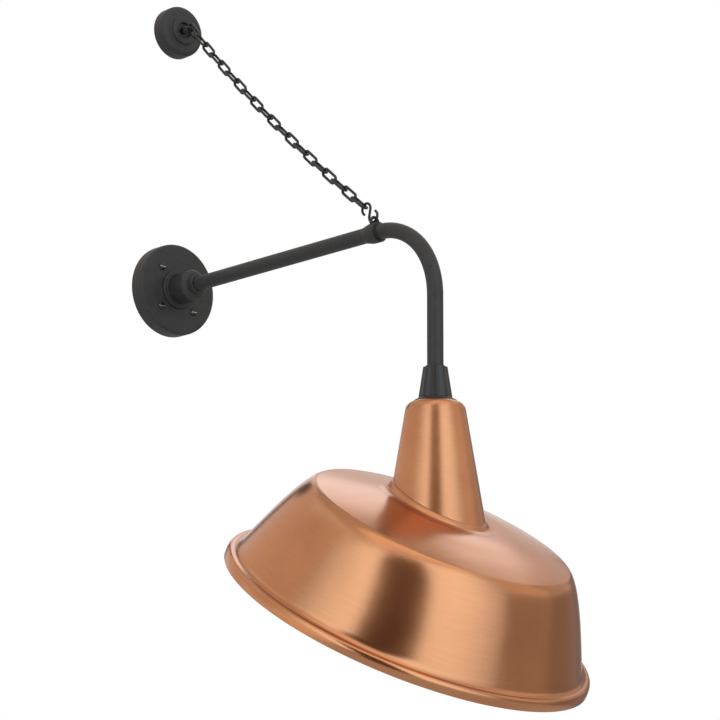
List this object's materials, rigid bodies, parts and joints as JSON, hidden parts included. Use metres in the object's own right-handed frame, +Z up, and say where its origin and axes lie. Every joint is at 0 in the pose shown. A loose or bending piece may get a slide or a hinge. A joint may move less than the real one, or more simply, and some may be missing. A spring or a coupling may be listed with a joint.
{
  "type": "barn light",
  "caption": "Wall light with a bent pipe arm stayed by a chain, a ribbed cup and a copper barn shade with an angled neck that turns on the hanging pipe end and holds a screw-in bulb.",
  "frame": {"origin": "centre of the large wall plate's back face, on the wall", "axes": "+Z up, +Y into the wall, so the arm stands out along -Y; X = 0 is the symmetry plane"},
  "size_m": [0.4935, 0.7263, 1.0895],
  "materials": {
    "black_coat": "fine-textured black powder coat, matt",
    "black_chain": "black-coated steel wire, semi-matt",
    "copper": "satin brushed copper, lacquered",
    "zinc": "bright zinc-plated steel",
    "screw_zinc": "blackened steel with bright slots",
    "porcelain": "unglazed white porcelain",
    "brass": "plain brass, drawn",
    "cap_metal": "bright aluminium",
    "black_glass": "black glass insulator",
    "bulb_glass": "frosted glass",
    "cable": "black cable sheath, matt"
  },
  "bodies": {
    "wall_arm": {"wall_plate": "black_coat", "mounting_bar": "zinc", "plate_screw_1": "screw_zinc", "plate_screw_2": "screw_zinc", "plate_screw_3": "screw_zinc", "plate_screw_4": "screw_zinc", "arm_hub": "black_coat", "hub_set_screw": "zinc", "hub_locknut": "zinc", "arm_pipe": "black_coat", "arm_cable": "cable", "chain_collar": "black_coat", "collar_set_screw": "zinc", "chain_plate": "black_coat", "chain_eye": "black_chain", "eye_nut": "zinc", "s_hook": "black_chain"},
    "shade": {"socket_cup": "black_coat", "cup_set_screw_1": "zinc", "cup_set_screw_2": "zinc", "neck_washer": "black_coat", "neck_nipple": "zinc", "neck_locknut": "zinc", "neck_cone": "copper", "neck_band": "copper", "shade_bowl": "copper", "lampholder_body": "porcelain", "centre_contact": "brass", "screw_shell": "brass"},
    "chain": {"chain_link_01": "black_chain", "chain_link_02": "black_chain", "chain_link_03": "black_chain", "chain_link_04": "black_chain", "chain_link_05": "black_chain", "chain_link_06": "black_chain", "chain_link_07": "black_chain", "chain_link_08": "black_chain", "chain_link_09": "black_chain", "chain_link_10": "black_chain", "chain_link_11": "black_chain", "chain_link_12": "black_chain", "chain_link_13": "black_chain", "chain_link_14": "black_chain", "chain_link_15": "black_chain", "chain_link_16": "black_chain", "chain_link_17": "black_chain", "chain_link_18": "black_chain", "chain_link_19": "black_chain", "chain_link_20": "black_chain"},
    "bulb_lift": {"bulb_contact": "cap_metal"},
    "bulb": {"bulb_cap": "cap_metal", "bulb_insulator": "black_glass", "bulb_glass": "bulb_glass"}
  },
  "joints": [
    {"name": "shade_swivel", "type": "hinge", "parent": "wall_arm", "child": "shade", "pos_m": [0, -0.5606, -0.21], "axis": [0, 0, 1], "range_deg": [-170, 170]},
    {"name": "chain_swing", "type": "hinge", "parent": "wall_arm", "child": "chain", "pos_m": [0, -0.03847, 0.40341], "axis": [0, -0.7292, -0.6843], "range_deg": [-20, 20]},
    {"name": "bulb_slide", "type": "slide", "parent": "shade", "child": "bulb_lift", "axis": [0, 0, -1], "range_m": [0, 0.01814]},
    {"name": "bulb_turn", "type": "hinge", "parent": "bulb_lift", "child": "bulb", "pos_m": [0, -0.5606, -0.33], "axis": [0, 0, -1], "range_deg": [0, 1800]}
  ],
  "couplings": [
    {"joint": "bulb_turn", "follows": "bulb_slide", "rad_per_m": 1731.6}
  ]
}
